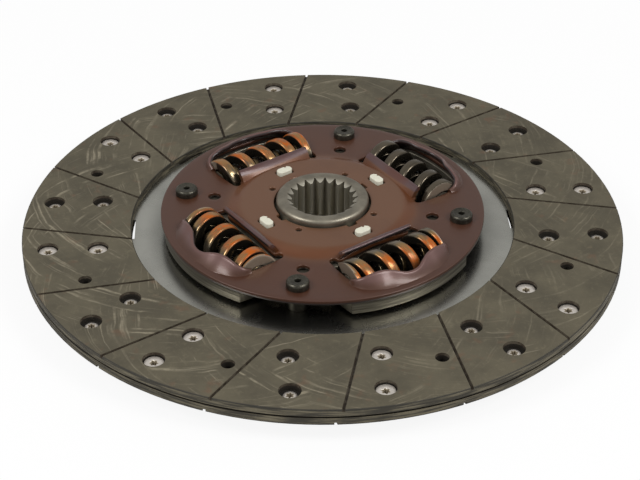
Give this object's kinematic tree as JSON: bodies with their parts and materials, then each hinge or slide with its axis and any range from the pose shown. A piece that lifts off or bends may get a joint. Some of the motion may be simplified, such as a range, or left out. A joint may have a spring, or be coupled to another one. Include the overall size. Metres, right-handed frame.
{
  "type": "clutch disc",
  "caption": "Friction disc with slanted dust grooves, riveted facings and a splined hub that turns against coil springs; carries engine torque to a gearbox shaft.",
  "frame": {"origin": "on the hub's axis, half way through the cushion plate between the two facings", "axes": "+Z along the hub's axis, out of the retaining plate; the first spring window lies at 35.43 degrees from +X"},
  "size_m": [0.25, 0.25, 0.0267],
  "materials": {
    "friction_facing": "woven friction lining, ground flat",
    "cushion_steel": "rolled spring steel",
    "maroon_plate": "maroon heat-treated and oiled, semi-gloss",
    "hub_steel": "machined forging, satin",
    "orange_spring": "orange paint worn to dark steel",
    "dark_spring": "oil-blackened spring wire",
    "black_pin": "blackened steel",
    "rivet_metal": "bright plated",
    "white_plastic": "moulded, cream white",
    "spring_steel": "oiled strip steel"
  },
  "bodies": {
    "disc": {"front_facing": "friction_facing", "rear_facing": "friction_facing", "cushion_plate": "cushion_steel", "front_facing_rivets": "rivet_metal", "rear_facing_rivets": "rivet_metal", "retaining_plate": "maroon_plate", "disc_plate": "maroon_plate", "stop_pin_1": "black_pin", "stop_pin_2": "black_pin", "stop_pin_3": "black_pin", "stop_pin_4": "black_pin", "front_friction_washer": "white_plastic", "cone_spring": "spring_steel", "control_plate": "spring_steel", "rear_thrust_washer": "spring_steel", "rear_bush": "white_plastic"},
    "hub": {"hub": "hub_steel"},
    "springs": {"outer_spring_1": "dark_spring", "outer_spring_2": "orange_spring", "outer_spring_3": "orange_spring", "outer_spring_4": "orange_spring", "inner_spring_1": "dark_spring", "inner_spring_2": "dark_spring", "inner_spring_3": "dark_spring", "inner_spring_4": "dark_spring"}
  },
  "joints": [
    {"name": "hub_turn", "type": "hinge", "parent": "disc", "child": "hub", "pos_m": [0, 0, 0], "axis": [0, 0, 1], "range_deg": [-10, 10], "stiffness_Nm_per_rad": 2300},
    {"name": "springs_turn", "type": "hinge", "parent": "disc", "child": "springs", "pos_m": [0, 0, 0], "axis": [0, 0, 1], "range_deg": [-5, 5], "deforming": ["outer_spring_1", "outer_spring_2", "outer_spring_3", "outer_spring_4", "inner_spring_1", "inner_spring_2", "inner_spring_3", "inner_spring_4"]}
  ],
  "couplings": [
    {"joint": "springs_turn", "follows": "hub_turn", "ratio": 0.5}
  ]
}
